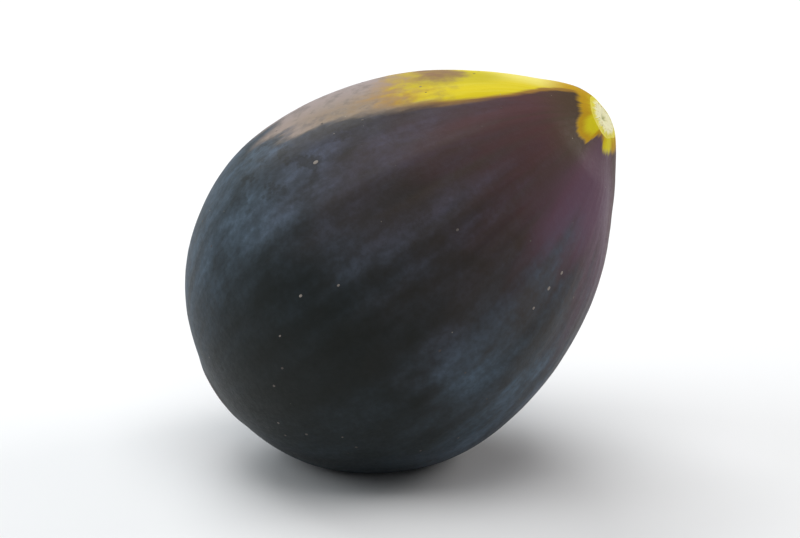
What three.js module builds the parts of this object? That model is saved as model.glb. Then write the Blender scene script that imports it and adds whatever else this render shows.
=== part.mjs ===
// A fresh black fig, picked whole and lying on a flat surface with its stalk end raised.
// It is one piece: the skin runs without a break from the eye at the blossom end, over the
// belly and the shoulder, to the cut face of the stalk. Units are millimetres and +Z is up.

import * as THREE from "three";

// Size and outline of the fruit along its own axis, which runs from the eye to the stalk.
const LENGTH = 67.3;
const BELLY_RADIUS = 26.9;
const BELLY_STATION = 27.4; // from the eye end to the widest section
const STALK_RADIUS = 3.2; // of the cut face
const SHOULDER_FULLNESS = 0.75; // 0.5 is a half ellipse, 1 a sharper point
const NECK_BEND = 1.1; // the stalk end leans this far towards the upper side

// How it lies: its own weight flattens the soft skin where it touches.
const AXIS_TILT = THREE.MathUtils.degToRad(36.2); // of the axis above the surface
const SQUASH_DEPTH = 1.9;
const SQUASH_BLEND = 0.9; // height over which the flat spot runs out into the round

// The cross-section is never a true circle: it is a little oval and a little three-sided.
const OVALNESS = 0.011;
const OVAL_ANGLE = 0.6;
const THREE_SIDEDNESS = 0.007;
const THREE_SIDED_ANGLE = 2.1;

// Low ribs follow the veins under the skin from the stalk towards the eye.
const RIB_COUNT = 16;
const RIB_HEIGHT = 0.35; // of the tallest
const RIB_SEED = 3751;
const RIB_START = 64; // station where the ribs leave the stalk's collar
const RIB_PEAK = 44; // station on the shoulder where they stand highest
const RIB_END = 8; // station where they have died away near the eye
const RIB_STRAY = 0.55; // share of the spacing over which a rib strays from its even place
const RIB_LOWEST = 0.4; // height of the lowest rib, as a share of the tallest
const RIB_SLIMMEST = 0.24; // half-width of the slimmest rib, as a share of the spacing
const RIB_WIDEST = 0.34; // and of the widest

// Broad shallow dents from lying against other fruit, and a crease under the stalk's collar.
const DENTS = [
  { station: 34, angle: 3.5, depth: 0.6, radius: 10 },
  { station: 22, angle: 5.3, depth: 0.6, radius: 10 },
  { station: 61, angle: 2.8, depth: 0.5, radius: 4.5 },
];

// The eye: a low swelling of the skin round a shallow hollow closed by whorls of bracts.
const EYE_SWELL_RADIUS = 4.8;
const EYE_SWELL_HEIGHT = 0.4;
const EYE_SWELL_WIDTH = 2.2;
const EYE_RADIUS = 3.3;
const EYE_DEPTH = 0.55;
const EYE_FLOOR_SHARE = 0.35; // the hollow's wall runs between these shares of its radius
const EYE_RIM_SHARE = 1.15;
const BRACT_STEP_WIDTH = 0.25;
const BRACT_WHORLS = [
  { radius: 2.9, tip: 0.75, count: 6, turn: 0.2, step: 0.3 },
  { radius: 1.95, tip: 0.6, count: 5, turn: 0.9, step: 0.26 },
  { radius: 1.1, tip: 0.45, count: 4, turn: 0.4, step: 0.22 },
];

// The stalk's cut face: slightly slanted, with a raised ring of fibres round a sunken pith.
const FACE_SLANT = 0.22; // rise along the axis for each millimetre towards its higher side
const FACE_SLANT_ANGLE = -1.2;
const FACE_DOME = 0.5;
const FIBRE_RING_SHARE = 0.66; // of the face's radius
const FIBRE_RING_HEIGHT = 0.16;
const FIBRE_RING_WIDTH = 0.45;
const PITH_DEPTH = 0.4;
const PITH_RADIUS = 0.75;
const COLLAR_HEIGHT = 0.12; // the skin's lip round the cut
const COLLAR_WIDTH = 1.6;
const STALK_UNEVENNESS = 0.06; // share by which the cut's outline strays from a circle
const STALK_UNEVEN_REACH = 5;

// Fineness of the mesh. The eye and the cut face need closer rings than the belly does.
const AROUND = 96;
const EYE_RINGS = 12;
const SWELL_RINGS = 5;
const BODY_RINGS = 30;
const FACE_RINGS = 7;
const RING_CROWDING = 0.35; // 0 spaces the body's rings evenly, 1 crowds them at the stalk

const TURN = 2 * Math.PI;
const smooth = THREE.MathUtils.smoothstep; // smooth(x, low, high)
const lerp = THREE.MathUtils.lerp; // lerp(low, high, share)
const bump = (distance, width) => Math.exp(-((distance / width) ** 2));

// A repeatable draw between 0 and 1.
function seededDraw(seed) {
  let state = seed;
  return () => {
    state = (state * 48271) % 2147483647;
    return state / 2147483647;
  };
}

// The shortest way round between two angles.
const angleBetween = (a, b) => Math.abs(THREE.MathUtils.euclideanModulo(a - b + Math.PI, TURN) - Math.PI);

// Length of the shoulder's outline to its unbuilt sharp point, past the cut face.
const shoulderCut = Math.sqrt(1 - (STALK_RADIUS / BELLY_RADIUS) ** (1 / SHOULDER_FULLNESS));
const shoulderLength = (LENGTH - BELLY_STATION) / shoulderCut;
const lastSweep = Math.acos(-shoulderCut);

// The outline at a sweep from 0 at the eye, through a right angle at the belly, to lastSweep at
// the cut: a quarter ellipse, then a fuller or sharper shoulder of the same height.
function outline(sweep) {
  const half = sweep < Math.PI / 2 ? BELLY_STATION : shoulderLength;
  const power = sweep < Math.PI / 2 ? 1 : 2 * SHOULDER_FULLNESS;
  const sine = Math.sin(sweep);
  const alongRate = half * sine;
  const outRate = BELLY_RADIUS * power * sine ** (power - 1) * Math.cos(sweep);
  const rate = Math.hypot(alongRate, outRate);
  return {
    station: BELLY_STATION - half * Math.cos(sweep),
    radius: BELLY_RADIUS * sine ** power,
    normalAlong: -outRate / rate,
    normalOut: alongRate / rate,
  };
}

const ribs = [];
const ribDraw = seededDraw(RIB_SEED);
for (let i = 0; i < RIB_COUNT; i++) {
  ribs.push({
    angle: ((i + RIB_STRAY * (ribDraw() - 0.5)) * TURN) / RIB_COUNT,
    height: RIB_HEIGHT * lerp(RIB_LOWEST, 1, ribDraw()),
    width: lerp(RIB_SLIMMEST, RIB_WIDEST, ribDraw()) * (TURN / RIB_COUNT),
  });
}

function ribRelief(station, angle) {
  const strength = smooth(station, RIB_END, RIB_PEAK) * (1 - smooth(station, RIB_PEAK, RIB_START));
  let height = 0;
  for (const rib of ribs) height += rib.height * bump(angleBetween(angle, rib.angle), rib.width);
  return height * strength;
}

function dentRelief(station, radius, angle) {
  let depth = 0;
  for (const dent of DENTS) {
    const across = radius * angleBetween(angle, dent.angle);
    depth += dent.depth * bump(Math.hypot(station - dent.station, across), dent.radius);
  }
  return -depth;
}

// Each whorl of bracts overlaps the one inside it, so the surface steps down at the bracts'
// rounded tips on the way in.
function eyeRelief(radius, angle) {
  let height = EYE_SWELL_HEIGHT * bump(radius - EYE_SWELL_RADIUS, EYE_SWELL_WIDTH);
  height -= EYE_DEPTH * (1 - smooth(radius, EYE_FLOOR_SHARE * EYE_RADIUS, EYE_RIM_SHARE * EYE_RADIUS));
  for (const whorl of BRACT_WHORLS) {
    const edge = whorl.radius - whorl.tip * Math.abs(Math.cos((whorl.count * (angle - whorl.turn)) / 2));
    height -= whorl.step * (1 - smooth(radius, edge - BRACT_STEP_WIDTH, edge));
  }
  return height;
}

// The cut's outline strays from a circle, and so does the skin just below it.
function stalkUnevenness(station, angle) {
  const wander = Math.cos(3 * angle + 1) + 0.6 * Math.cos(5 * angle + 2.3);
  return 1 + STALK_UNEVENNESS * wander * bump(LENGTH - station, STALK_UNEVEN_REACH);
}

function faceRelief(radius) {
  const share = radius / STALK_RADIUS;
  const dome = FACE_DOME * (1 - share * share);
  const ring = FIBRE_RING_HEIGHT * bump(radius - FIBRE_RING_SHARE * STALK_RADIUS, FIBRE_RING_WIDTH);
  return dome + ring - PITH_DEPTH * bump(radius, PITH_RADIUS);
}

// A point on the fruit in its own axes: +X towards the stalk and +Z towards the upper side.
// Angles run round the axis from +Z towards -Y.
function fruitPoint(station, radius, angle) {
  const oval = OVALNESS * Math.cos(2 * (angle - OVAL_ANGLE));
  const threeSided = THREE_SIDEDNESS * Math.cos(3 * (angle - THREE_SIDED_ANGLE));
  const out = radius * (1 + oval + threeSided) * stalkUnevenness(station, angle);
  const lean = NECK_BEND * smooth(station, BELLY_STATION, LENGTH) ** 2;
  const rise = FACE_SLANT * out * Math.cos(angle - FACE_SLANT_ANGLE);
  const slant = rise * smooth(station, LENGTH - STALK_UNEVEN_REACH, LENGTH);
  return new THREE.Vector3(station + slant, -out * Math.sin(angle), out * Math.cos(angle) + lean);
}

function skinPoint(sweep, angle) {
  const at = outline(sweep);
  const collar = COLLAR_HEIGHT * bump(LENGTH - at.station, COLLAR_WIDTH);
  const nearEye = sweep < Math.PI / 4 ? eyeRelief(at.radius, angle) : 0;
  const relief = collar + nearEye + ribRelief(at.station, angle) + dentRelief(at.station, at.radius, angle);
  return fruitPoint(at.station + relief * at.normalAlong, at.radius + relief * at.normalOut, angle);
}

function facePoint(radius, angle) {
  return fruitPoint(LENGTH + faceRelief(radius) - faceRelief(STALK_RADIUS), radius, angle);
}

// Each ring is a function from an angle to a point, in order from the eye to the cut face.
const rings = [];
const eyeSweep = Math.asin(EYE_RADIUS / BELLY_RADIUS);
const swellSweep = Math.asin((EYE_SWELL_RADIUS + 2 * EYE_SWELL_WIDTH) / BELLY_RADIUS);
const skinRing = (sweep) => (angle) => skinPoint(sweep, angle);
for (let i = 1; i <= EYE_RINGS; i++) rings.push(skinRing((eyeSweep * i) / EYE_RINGS));
for (let i = 1; i <= SWELL_RINGS; i++) {
  rings.push(skinRing(lerp(eyeSweep, swellSweep, i / SWELL_RINGS)));
}
for (let i = 1; i <= BODY_RINGS; i++) {
  // The rings close up towards the stalk, where the outline turns in fastest.
  const even = i / BODY_RINGS;
  const share = lerp(even, Math.sin((Math.PI / 2) * even), RING_CROWDING);
  rings.push(skinRing(lerp(swellSweep, lastSweep, share)));
}
for (let i = FACE_RINGS - 1; i >= 1; i--) {
  rings.push((angle) => facePoint((STALK_RADIUS * i) / FACE_RINGS, angle));
}

function fruitGeometry() {
  const points = [skinPoint(0, 0)];
  for (const ring of rings) {
    for (let j = 0; j < AROUND; j++) points.push(ring((TURN * j) / AROUND));
  }
  points.push(facePoint(0, 0));

  const triangles = [];
  const vertex = (ring, j) => 1 + ring * AROUND + (j % AROUND);
  const last = rings.length - 1;
  for (let j = 0; j < AROUND; j++) {
    triangles.push(0, vertex(0, j + 1), vertex(0, j));
    for (let i = 0; i < last; i++) {
      triangles.push(vertex(i, j), vertex(i + 1, j + 1), vertex(i + 1, j));
      triangles.push(vertex(i, j), vertex(i, j + 1), vertex(i + 1, j + 1));
    }
    triangles.push(vertex(last, j), vertex(last, j + 1), points.length - 1);
  }
  const geometry = new THREE.BufferGeometry().setFromPoints(points);
  geometry.setIndex(triangles);
  return geometry;
}

// Sets the fruit down: the lowest skin is pressed flat against the surface at z = 0, and the
// flat spot runs out smoothly into the round.
function settle(geometry) {
  geometry.computeBoundingBox();
  const drop = geometry.boundingBox.min.z + SQUASH_DEPTH;
  const position = geometry.getAttribute("position");
  for (let i = 0; i < position.count; i++) {
    const height = position.getZ(i) - drop;
    if (height < -SQUASH_BLEND) position.setZ(i, 0);
    else if (height < SQUASH_BLEND) position.setZ(i, (height + SQUASH_BLEND) ** 2 / (4 * SQUASH_BLEND));
    else position.setZ(i, height);
  }
}

const geometry = fruitGeometry();
geometry.rotateY(-AXIS_TILT);
settle(geometry);
geometry.computeBoundingBox();
const middle = geometry.boundingBox.getCenter(new THREE.Vector3());
geometry.translate(-middle.x, -middle.y, 0);
geometry.computeVertexNormals();

const skin = new THREE.MeshStandardMaterial({ color: 0x3b3f4b, roughness: 0.55, metalness: 0 });
const fruit = new THREE.Mesh(geometry, skin);
fruit.name = "fig";

const fig = new THREE.Group();
fig.add(fruit);

export default fig;
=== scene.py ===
import math
import random

import bpy
import numpy as np
from mathutils import Matrix, Vector, noise


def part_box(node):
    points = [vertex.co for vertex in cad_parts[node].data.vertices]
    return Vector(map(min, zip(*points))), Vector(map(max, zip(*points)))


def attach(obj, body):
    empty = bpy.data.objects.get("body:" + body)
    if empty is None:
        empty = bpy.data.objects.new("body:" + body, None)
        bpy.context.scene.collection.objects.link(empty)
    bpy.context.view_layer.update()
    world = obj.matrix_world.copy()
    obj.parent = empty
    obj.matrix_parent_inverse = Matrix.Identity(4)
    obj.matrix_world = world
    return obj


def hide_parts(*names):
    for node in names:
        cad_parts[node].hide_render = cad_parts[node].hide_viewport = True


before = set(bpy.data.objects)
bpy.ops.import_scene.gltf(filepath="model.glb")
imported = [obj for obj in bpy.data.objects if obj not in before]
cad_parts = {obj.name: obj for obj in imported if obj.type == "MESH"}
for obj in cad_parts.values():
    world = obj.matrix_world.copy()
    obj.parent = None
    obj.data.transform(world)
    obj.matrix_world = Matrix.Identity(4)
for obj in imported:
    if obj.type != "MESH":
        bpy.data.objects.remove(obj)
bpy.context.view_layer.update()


# The fruit's body. A fig grows as one piece, a fleshy receptacle that swells from the stalk to
# the closed eye at its far end. It lies on its side here, and the soft skin is pressed flat
# where it rests. Sizes are in millimetres along the fruit's own axis, from the eye to the cut.
MM = 0.001  # a millimetre in the scene, which is in metres
LENGTH = 67.3
BELLY_RADIUS = 26.9
BELLY_STATION = 27.4  # from the eye end to the widest section
STALK_RADIUS = 3.2  # of the cut face
SHOULDER_FULLNESS = 0.75  # 0.5 is a half ellipse, 1 a sharper point
NECK_BEND = 1.1  # the stalk end leans this far towards the upper side
AXIS_TILT = math.radians(36.2)  # of the axis above the surface
SQUASH_DEPTH = 1.9  # how far the lowest skin is pressed in
SQUASH_BLEND = 0.9  # height over which the flat spot runs out into the round
OVALNESS = 0.011
OVAL_ANGLE = 0.6
THREE_SIDEDNESS = 0.007
THREE_SIDED_ANGLE = 2.1
DENTS = (
    {"station": 34, "angle": 3.5, "depth": 0.6, "radius": 10},
    {"station": 22, "angle": 5.3, "depth": 0.6, "radius": 10},
    {"station": 61, "angle": 2.8, "depth": 0.5, "radius": 4.5},
)

TURN = 2 * math.pi
AROUND = 360  # points in each ring
EYE_RINGS = 26
SWELL_RINGS = 18
BODY_RINGS = 196
FACE_RINGS = 16
RING_CROWDING = 0.35  # 0 spaces the body's rings evenly, 1 crowds them at the stalk
NEARLY_ZERO = 1e-6  # stands for the axis, where the slope isn't defined
DRAW_STEP = 48271  # multiplier and range of the repeatable draw
DRAW_RANGE = 2147483647


def smooth(x, low, high):
    share = np.clip((x - low) / (high - low), 0, 1)
    return share * share * (3 - 2 * share)


def bump(distance, width):
    return np.exp(-((distance / width) ** 2))


def angle_between(a, b):
    return np.abs((a - b + math.pi) % TURN - math.pi)


def seeded_draw(seed):
    """Repeatable draws between 0 and 1."""
    state = seed
    while True:
        state = (state * DRAW_STEP) % DRAW_RANGE
        yield state / DRAW_RANGE


shoulder_cut = math.sqrt(1 - (STALK_RADIUS / BELLY_RADIUS) ** (1 / SHOULDER_FULLNESS))
shoulder_length = (LENGTH - BELLY_STATION) / shoulder_cut
last_sweep = math.acos(-shoulder_cut)


def outline(sweep):
    """Station, radius and outward normal at a sweep from 0 at the eye to last_sweep at the cut."""
    lower = sweep < math.pi / 2
    half = np.where(lower, BELLY_STATION, shoulder_length)
    power = np.where(lower, 1.0, 2 * SHOULDER_FULLNESS)
    sine = np.sin(sweep)
    along_rate = half * sine
    out_rate = BELLY_RADIUS * power * np.power(sine, power - 1) * np.cos(sweep)
    rate = np.hypot(along_rate, out_rate)
    station = BELLY_STATION - half * np.cos(sweep)
    radius = BELLY_RADIUS * np.power(sine, power)
    return station, radius, -out_rate / rate, along_rate / rate


# The ribs are the veins that run under the skin from the stalk, broad and few, with finer ones
# between them. They stand highest on the shoulder and have died away before the eye.
RIB_COUNT = 16
RIB_HEIGHT = 0.35
RIB_SEED = 3751
RIB_START = 64  # station where the ribs leave the stalk's collar
RIB_PEAK = 44  # station on the shoulder where they stand highest
RIB_END = 8  # station where they have died away near the eye
FINE_RIB_COUNT = 61
FINE_RIB_HEIGHT = 0.05
FINE_RIB_SEED = 29
RIB_STRAY = 0.55  # share of the spacing over which a rib strays from its even place
RIB_LOWEST = 0.4  # height of the lowest rib, as a share of the tallest
RIB_SLIMMEST = 0.24  # half-width of the slimmest rib, as a share of the spacing
RIB_WIDEST = 0.34  # and of the widest


def rib_set(count, height, seed):
    draw = seeded_draw(seed)
    ribs = []
    for i in range(count):
        angle = (i + RIB_STRAY * (next(draw) - 0.5)) * TURN / count
        tall = height * (RIB_LOWEST + (1 - RIB_LOWEST) * next(draw))
        wide = (RIB_SLIMMEST + (RIB_WIDEST - RIB_SLIMMEST) * next(draw)) * TURN / count
        ribs.append((angle, tall, wide))
    return ribs


def rib_profile(ribs, angle):
    return sum(tall * bump(angle_between(angle, at), wide) for at, tall, wide in ribs)


def rib_strength(station):
    return smooth(station, RIB_END, RIB_PEAK) * (1 - smooth(station, RIB_PEAK, RIB_START))


main_ribs = rib_set(RIB_COUNT, RIB_HEIGHT, RIB_SEED)
fine_ribs = rib_set(FINE_RIB_COUNT, FINE_RIB_HEIGHT, FINE_RIB_SEED)

# At the eye the skin swells in a low ring round a shallow hollow, which whorls of small bracts
# close. The hollow steps down from each whorl to the next on the way in.
EYE_SWELL_RADIUS = 4.8
EYE_SWELL_HEIGHT = 0.4
EYE_SWELL_WIDTH = 2.2
EYE_RADIUS = 3.3
EYE_DEPTH = 0.55
EYE_FLOOR_SHARE = 0.35  # the hollow's wall runs between these shares of its radius
EYE_RIM_SHARE = 1.15
EYE_SWEEP_END = math.pi / 4  # the eye's relief has died away well before this sweep
BRACT_STEP_WIDTH = 0.25
BRACT_WHORLS = (
    {"radius": 2.9, "tip": 0.75, "count": 6, "turn": 0.2, "step": 0.3},
    {"radius": 1.95, "tip": 0.6, "count": 5, "turn": 0.9, "step": 0.26},
    {"radius": 1.1, "tip": 0.45, "count": 4, "turn": 0.4, "step": 0.22},
)


def eye_relief(radius, angle):
    wall = smooth(radius, EYE_FLOOR_SHARE * EYE_RADIUS, EYE_RIM_SHARE * EYE_RADIUS)
    swelling = EYE_SWELL_HEIGHT * bump(radius - EYE_SWELL_RADIUS, EYE_SWELL_WIDTH)
    height = swelling - EYE_DEPTH * (1 - wall)
    for whorl in BRACT_WHORLS:
        wave = np.abs(np.cos(whorl["count"] * (angle - whorl["turn"]) / 2))
        edge = whorl["radius"] - whorl["tip"] * wave
        height = height - whorl["step"] * (1 - smooth(radius, edge - BRACT_STEP_WIDTH, edge))
    return height


# The stalk was cut on a slant. The face is uneven, with a raised ring of fibres round a sunken
# pith, and the skin stands round it as a thin lip.
FACE_SLANT = 0.22  # rise along the axis for each millimetre towards its higher side
FACE_SLANT_ANGLE = -1.2
FACE_DOME = 0.5
FIBRE_RING_SHARE = 0.66
FIBRE_RING_HEIGHT = 0.16
FIBRE_RING_WIDTH = 0.45
PITH_DEPTH = 0.4
PITH_RADIUS = 0.75
COLLAR_HEIGHT = 0.12
COLLAR_WIDTH = 1.6
STALK_UNEVENNESS = 0.06  # share by which the cut's outline strays from a circle
STALK_UNEVEN_REACH = 5


def stalk_unevenness(station, angle):
    wander = np.cos(3 * angle + 1) + 0.6 * np.cos(5 * angle + 2.3)
    return 1 + STALK_UNEVENNESS * wander * bump(LENGTH - station, STALK_UNEVEN_REACH)


def face_relief(radius):
    share = radius / STALK_RADIUS
    dome = FACE_DOME * (1 - share * share)
    ring = FIBRE_RING_HEIGHT * bump(radius - FIBRE_RING_SHARE * STALK_RADIUS, FIBRE_RING_WIDTH)
    return dome + ring - PITH_DEPTH * bump(radius, PITH_RADIUS)


# Over the main form the skin is a little lumpy, and drawn into fine lengthwise wrinkles at the
# neck. The whole body is one closed mesh, with the cut face in it.
LUMP_HEIGHT = 0.16
LUMP_SIZE = 11
WRINKLE_HEIGHT = 0.035
WRINKLE_COUNT = 75
WRINKLE_LENGTH = 9
WRINKLES_DEEPEST = 8  # from the cut
WRINKLES_FADE = 4  # from the cut, where they are gone
DIMPLE_HEIGHT = 0.022
DIMPLE_SIZE = 1.7
CUT_ROUGHNESS = 0.1
CUT_ROUGH_SIZE = 0.55
CUT_ROUGH_SLICE = 7.0  # which slice of the noise the cut takes its roughness from
CUT_SMOOTH_RIM = 0.4  # width over which the roughness dies away at the rim


def noise_field(points):
    """Smooth noise from about -1 to 1 at each point of an array."""
    flat = points.reshape(-1, 3)
    values = [noise.noise(Vector(point)) for point in flat]
    return np.array(values).reshape(points.shape[:-1])


def cylinder_points(station, radius, angle):
    return np.stack([station, -radius * np.sin(angle), radius * np.cos(angle)], axis=-1)


def skin_relief(station, radius, angle):
    points = cylinder_points(station, radius, angle)
    spread = WRINKLE_COUNT / TURN
    lengthwise = cylinder_points(station / WRINKLE_LENGTH, spread, angle)
    relief = LUMP_HEIGHT * noise_field(points / LUMP_SIZE)
    relief += DIMPLE_HEIGHT * noise_field(points / DIMPLE_SIZE)
    neck = smooth(station, BELLY_STATION, LENGTH - WRINKLES_DEEPEST)
    below_cut = 1 - smooth(station, LENGTH - WRINKLES_FADE, LENGTH)
    relief += WRINKLE_HEIGHT * noise_field(lengthwise) * neck * below_cut
    return relief * smooth(radius, 0, EYE_SWELL_RADIUS)


def dent_relief(station, radius, angle):
    depth = 0
    for dent in DENTS:
        across = radius * angle_between(angle, dent["angle"])
        away = np.hypot(station - dent["station"], across)
        depth = depth + dent["depth"] * bump(away, dent["radius"])
    return -depth


def fruit_points(station, radius, angle):
    """Points in the fruit's own axes. Angles run from the upper side towards the viewer."""
    oval = OVALNESS * np.cos(2 * (angle - OVAL_ANGLE))
    oval = oval + THREE_SIDEDNESS * np.cos(3 * (angle - THREE_SIDED_ANGLE))
    out = radius * (1 + oval) * stalk_unevenness(station, angle)
    near_cut = smooth(station, LENGTH - STALK_UNEVEN_REACH, LENGTH)
    slant = FACE_SLANT * out * np.cos(angle - FACE_SLANT_ANGLE) * near_cut
    points = cylinder_points(station + slant, out, angle)
    points[..., 2] += NECK_BEND * smooth(station, BELLY_STATION, LENGTH) ** 2
    return points


def skin_points(sweep, angle):
    station, radius, normal_along, normal_out = outline(sweep)
    ribs = rib_profile(main_ribs, angle) * rib_strength(station)
    relief = ribs + rib_profile(fine_ribs, angle) * rib_strength(station)
    relief += COLLAR_HEIGHT * bump(LENGTH - station, COLLAR_WIDTH)
    relief += np.where(sweep < EYE_SWEEP_END, eye_relief(radius, angle), 0)
    relief += dent_relief(station, radius, angle) + skin_relief(station, radius, angle)
    return fruit_points(station + relief * normal_along, radius + relief * normal_out, angle)


def cut_points(radius, angle):
    height = face_relief(radius) - face_relief(STALK_RADIUS)
    in_noise = cylinder_points(np.full_like(radius, CUT_ROUGH_SLICE), radius, angle)
    rough = noise_field(in_noise / CUT_ROUGH_SIZE)
    height = height + CUT_ROUGHNESS * rough * smooth(STALK_RADIUS - radius, 0, CUT_SMOOTH_RIM)
    return fruit_points(LENGTH + height, radius, angle)


def tilted(points):
    """Turns points from the fruit's own axes to the way it lies."""
    turn = Matrix.Rotation(-AXIS_TILT, 3, "Y")
    return points @ np.array(turn).T


def lying(points, drop, shift):
    """Places points as the fruit lies, pressed flat where they would go below the surface."""
    placed = tilted(points)
    height = placed[..., 2] - drop
    pressed = (height + SQUASH_BLEND) ** 2 / (4 * SQUASH_BLEND)
    eased = np.where(height < SQUASH_BLEND, pressed, height)
    placed[..., 2] = np.where(height < -SQUASH_BLEND, 0, eased)
    return (placed + shift) * MM


angles = np.arange(AROUND) * TURN / AROUND
eye_sweep = math.asin(EYE_RADIUS / BELLY_RADIUS)
swell_sweep = math.asin((EYE_SWELL_RADIUS + 2 * EYE_SWELL_WIDTH) / BELLY_RADIUS)
even_share = np.arange(1, BODY_RINGS + 1) / BODY_RINGS
crowded_share = np.sin(even_share * math.pi / 2)
body_share = RING_CROWDING * crowded_share + (1 - RING_CROWDING) * even_share
sweeps = np.concatenate([
    eye_sweep * np.arange(1, EYE_RINGS + 1) / EYE_RINGS,
    eye_sweep + (swell_sweep - eye_sweep) * np.arange(1, SWELL_RINGS + 1) / SWELL_RINGS,
    swell_sweep + (last_sweep - swell_sweep) * body_share,
])
face_radii = STALK_RADIUS * np.arange(FACE_RINGS - 1, 0, -1) / FACE_RINGS

skin_grid = skin_points(*np.meshgrid(sweeps, angles, indexing="ij"))
face_grid = cut_points(*np.meshgrid(face_radii, angles, indexing="ij"))
eye_middle = skin_points(np.array([NEARLY_ZERO]), np.zeros(1))
cut_middle = cut_points(np.array([NEARLY_ZERO]), np.zeros(1))
ring_points = np.concatenate([skin_grid, face_grid])
own_points = np.concatenate([eye_middle, ring_points.reshape(-1, 3), cut_middle])

drop = tilted(own_points)[:, 2].min() + SQUASH_DEPTH
unshifted = lying(own_points, drop, 0) / MM
low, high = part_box("fig")
middle = (unshifted.min(axis=0) + unshifted.max(axis=0)) / 2
cad_middle = (low + high) / 2 / MM
shift = np.array([cad_middle.x - middle[0], cad_middle.y - middle[1], 0])
fruit = lying(own_points, drop, shift)


def ring_faces(ring_count):
    def corner(ring, j):
        return 1 + ring * AROUND + j % AROUND

    last = ring_count - 1
    end = 1 + ring_count * AROUND
    faces = [(0, corner(0, j + 1), corner(0, j)) for j in range(AROUND)]
    for i in range(last):
        for j in range(AROUND):
            faces.append((corner(i, j), corner(i, j + 1), corner(i + 1, j + 1), corner(i + 1, j)))
    faces += [(corner(last, j), corner(last, j + 1), end) for j in range(AROUND)]
    return faces


def new_piece(name, points, faces):
    """A smooth-shaded piece made of points and faces, standing in the scene."""
    mesh = bpy.data.meshes.new(name)
    mesh.from_pydata(points.tolist(), [], faces)
    mesh.shade_smooth()
    piece = bpy.data.objects.new(name, mesh)
    bpy.context.scene.collection.objects.link(piece)
    return piece


def store(piece, name, kind, values):
    """Keeps a value for each point of the piece, for its material to read."""
    layer = piece.data.attributes.new(name, kind, "POINT")
    field = "vector" if kind == "FLOAT_VECTOR" else "value"
    layer.data.foreach_set(field, np.asarray(values, dtype=np.float32).ravel())


fig_body = new_piece("fig_body", fruit, ring_faces(len(ring_points)))
for face in fig_body.data.polygons[AROUND * len(sweeps):]:
    face.material_index = 1

around = np.stack([np.cos(angles), np.sin(angles), np.zeros(AROUND)], axis=-1)
around = np.tile(around, (len(ring_points), 1))
skin_station = outline(sweeps)[0]
along = np.repeat(np.concatenate([skin_station, LENGTH + STALK_RADIUS - face_radii]), AROUND)
crest = np.tile(rib_profile(main_ribs, angles) / RIB_HEIGHT, len(ring_points))
pole = np.zeros((1, 3))
store(fig_body, "around", "FLOAT_VECTOR", np.concatenate([pole, around, pole]))
store(fig_body, "along", "FLOAT", np.concatenate([[0], along, [LENGTH + STALK_RADIUS]]))
store(fig_body, "rib", "FLOAT", np.concatenate([[0], crest, [0]]))


def add(tree, kind, inputs=None, **settings):
    """Adds a node with its settings, and sets or links its inputs."""
    made = tree.nodes.new(kind)
    for name, value in settings.items():
        setattr(made, name, value)
    for name, value in (inputs or {}).items():
        if isinstance(value, bpy.types.NodeSocket):
            tree.links.new(value, made.inputs[name])
        else:
            made.inputs[name].default_value = value
    return made


def calc(tree, operation, *values):
    return add(tree, "ShaderNodeMath", dict(enumerate(values)), operation=operation).outputs[0]


def remap(tree, value, low, high, to_low=0.0, to_high=1.0):
    """Eases a value from one range to another, and holds it at the ends."""
    ends = {"Value": value, "From Min": low, "From Max": high, "To Min": to_low, "To Max": to_high}
    return add(tree, "ShaderNodeMapRange", ends, interpolation_type="SMOOTHSTEP").outputs[0]


def mix(tree, share, first, second):
    inputs = {0: share, 6: first, 7: second}
    return add(tree, "ShaderNodeMix", inputs, data_type="RGBA").outputs[2]


def colour(red, green, blue):
    return (red, green, blue, 1.0)


def new_group(name, inputs, outputs):
    """A shader node group with its named sockets, and the nodes at its two ends."""
    group = bpy.data.node_groups.new(name, "ShaderNodeTree")
    for socket, kind, value in inputs:
        made = group.interface.new_socket(socket, in_out="INPUT", socket_type=kind)
        if value is not None:
            made.default_value = value
    for socket, kind in outputs:
        group.interface.new_socket(socket, in_out="OUTPUT", socket_type=kind)
    return group, add(group, "NodeGroupInput").outputs, add(group, "NodeGroupOutput").inputs


def use(tree, group, inputs):
    made = tree.nodes.new("ShaderNodeGroup")
    made.node_tree = group
    for name, value in inputs.items():
        if isinstance(value, bpy.types.NodeSocket):
            tree.links.new(value, made.inputs[name])
        else:
            made.inputs[name].default_value = value
    return made.outputs


def new_material(name):
    material = bpy.data.materials.new(name)
    material.use_nodes = True
    material.node_tree.nodes.clear()
    return material, material.node_tree


def lengthwise_group():
    """Streaks that run from the stalk to the eye, as everything that grows in the skin does."""
    group, given, out = new_group(
        "lengthwise_streaks",
        [
            ("Around", "NodeSocketVector", None),
            ("Along", "NodeSocketFloat", 0.0),
            ("Streaks Round", "NodeSocketFloat", 20.0),
            ("Streak Length", "NodeSocketFloat", 30.0),
            ("Detail", "NodeSocketFloat", 3.0),
            ("Shift", "NodeSocketFloat", 0.0),
        ],
        [("Value", "NodeSocketFloat")],
    )
    parts = add(group, "ShaderNodeSeparateXYZ", {0: given["Around"]}).outputs
    spread = calc(group, "DIVIDE", given["Streaks Round"], TURN)
    along = calc(group, "DIVIDE", given["Along"], given["Streak Length"])
    place = add(group, "ShaderNodeCombineXYZ", {
        0: calc(group, "MULTIPLY", parts[0], spread),
        1: calc(group, "MULTIPLY", parts[1], spread),
        2: calc(group, "ADD", along, given["Shift"]),
    }).outputs[0]
    inputs = {"Vector": place, "Scale": 1.0, "Detail": given["Detail"], "Roughness": 0.55}
    group.links.new(add(group, "ShaderNodeTexNoise", inputs).outputs[0], out["Value"])
    return group


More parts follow.
